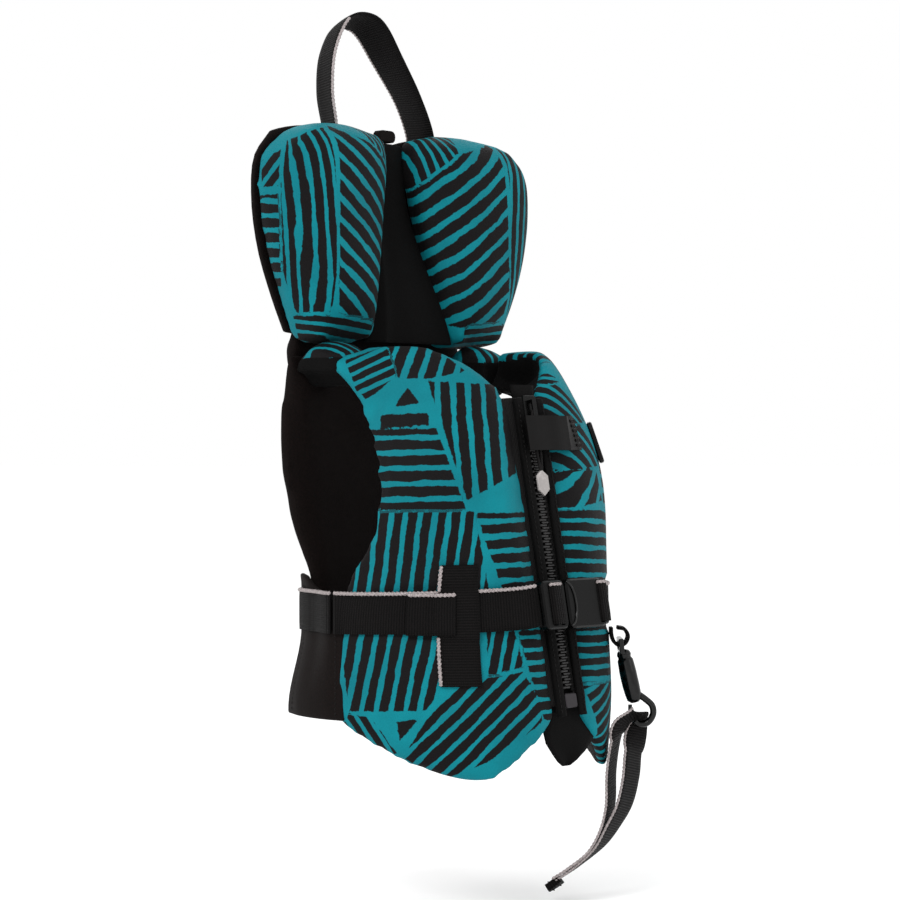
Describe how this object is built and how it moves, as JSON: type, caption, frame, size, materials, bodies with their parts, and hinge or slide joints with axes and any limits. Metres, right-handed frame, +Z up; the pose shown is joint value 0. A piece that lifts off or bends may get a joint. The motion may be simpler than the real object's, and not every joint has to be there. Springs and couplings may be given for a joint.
{
  "type": "life jacket",
  "caption": "Child's zip-up foam life jacket with a padded head collar, grab handle, waist belt with a side release buckle, and a leg strap on a snap hook.",
  "frame": {"origin": "on the torso axis, about level with the middle of the waist belt", "axes": "+Z up along the wearer's body, the front faces -Y, the wearer's right is -X"},
  "size_m": [0.2324, 0.1894, 0.5735],
  "materials": {
    "print": "printed neoprene, matt",
    "neoprene": "matt",
    "lining": "matt",
    "foam": "matt closed-cell foam",
    "webbing": "ribbed, light reflective edge",
    "plastic": "smooth",
    "tape": "woven",
    "teeth": "moulded",
    "box_metal": "dull",
    "hook_metal": "glossy",
    "tag": "light grey"
  },
  "bodies": {
    "back": {"back_cover": "neoprene", "back_foam": "foam", "back_lining": "lining", "side_panel_right": "neoprene", "side_panel_left": "neoprene", "shoulder_right": "print", "shoulder_left": "print", "belt_back": "webbing", "neck_band": "neoprene"},
    "front_right": {"front_cover_right": "print", "front_foam_right": "foam", "front_lining_right": "lining", "zip_tape_right": "tape", "zip_teeth_right": "teeth", "zip_flap_right": "tape", "zip_bottom_box": "box_metal", "belt_front_right": "webbing", "belt_keeper": "webbing", "belt_overlap": "webbing", "buckle_male": "plastic", "buckle_prongs": "plastic"},
    "front_left": {"front_cover_left": "print", "front_foam_left": "foam", "front_lining_left": "lining", "zip_tape_left": "tape", "zip_teeth_left": "teeth", "zip_flap_left": "tape", "zip_underlay": "lining", "belt_front_left": "webbing", "buckle_female": "plastic", "lash_tab": "plastic", "strap_anchor_loop": "webbing"},
    "collar": {"collar_centre": "neoprene", "collar_top_binding": "neoprene"},
    "pillow_right": {"collar_cover_right": "print", "collar_foam_right": "foam", "collar_pillow_back_right": "lining", "collar_backing_right": "neoprene"},
    "pillow_left": {"collar_cover_left": "print", "collar_foam_left": "foam", "collar_pillow_back_left": "lining", "collar_backing_left": "neoprene"},
    "handle": {"grab_handle": "webbing"},
    "slider": {"zip_slider": "hook_metal"},
    "pull": {"zip_pull": "tag"},
    "tab": {"chest_tab": "webbing"},
    "hook_eye": {"hook_swivel_eye": "hook_metal"},
    "hook": {"hook_body": "hook_metal"},
    "gate": {"hook_gate": "hook_metal"},
    "strap": {"leg_strap": "webbing", "leg_strap_stop": "webbing"}
  },
  "joints": [
    {"name": "front_right_open", "type": "hinge", "parent": "back", "child": "front_right", "pos_m": [-0.107, 0.006, -0.01], "axis": [-0.1051, -0.1383, -0.9848], "range_deg": [0, 55], "deforming": ["buckle_prongs"]},
    {"name": "front_left_open", "type": "hinge", "parent": "back", "child": "front_left", "pos_m": [0.107, 0.006, -0.01], "axis": [-0.1051, 0.1383, 0.9848], "range_deg": [0, 55], "deforming": ["zip_underlay"]},
    {"name": "collar_tilt", "type": "hinge", "parent": "back", "child": "collar", "pos_m": [0, 0.08, 0.1685], "axis": [1, 0, 0], "range_deg": [-150, 0]},
    {"name": "pillow_right_fold", "type": "hinge", "parent": "collar", "child": "pillow_right", "pos_m": [-0.0425, 0.05, 0.178], "axis": [0.2111, 0, 0.9775], "range_deg": [0, 35]},
    {"name": "pillow_left_fold", "type": "hinge", "parent": "collar", "child": "pillow_left", "pos_m": [0.0425, 0.05, 0.178], "axis": [0.2111, 0, -0.9775], "range_deg": [0, 35]},
    {"name": "handle_swing", "type": "hinge", "parent": "collar", "child": "handle", "pos_m": [0, 0.0715, 0.3105], "axis": [1, 0, 0], "range_deg": [-120, 24]},
    {"name": "slider_travel", "type": "slide", "parent": "front_right", "child": "slider", "axis": [0, 0.183, 0.9831], "range_m": [-0.165, 0], "deforming": ["zip_tape_right", "zip_teeth_right", "zip_tape_left", "zip_teeth_left"]},
    {"name": "pull_flip", "type": "hinge", "parent": "slider", "child": "pull", "pos_m": [0, -0.06444, 0.12743], "axis": [-1, 0, 0], "range_deg": [0, 6]},
    {"name": "chest_tab_peel", "type": "hinge", "parent": "front_left", "child": "tab", "pos_m": [0.0266, -0.07168, 0.11372], "axis": [0, 0.183, 0.9831], "range_deg": [0, 110]},
    {"name": "hook_swing", "type": "hinge", "parent": "front_left", "child": "hook_eye", "pos_m": [0.06386, -0.08377, -0.0204], "axis": [0.7431, 0.6691, 0], "range_deg": [-38, 0]},
    {"name": "hook_swivel", "type": "hinge", "parent": "hook_eye", "child": "hook", "pos_m": [0.06566, -0.08577, -0.029], "axis": [-0.1655, 0.1838, 0.9689], "range_deg": [0, 30]},
    {"name": "gate_open", "type": "hinge", "parent": "hook", "child": "gate", "pos_m": [0.06814, -0.08852, -0.0606], "axis": [-0.7431, -0.6691, 0], "range_deg": [0, 14], "stiffness_Nm_per_rad": 0.02},
    {"name": "strap_swing", "type": "hinge", "parent": "hook", "child": "strap", "pos_m": [0.07315, -0.0941, -0.0664], "axis": [0.7431, 0.6691, 0], "range_deg": [-40, 0]}
  ]
}
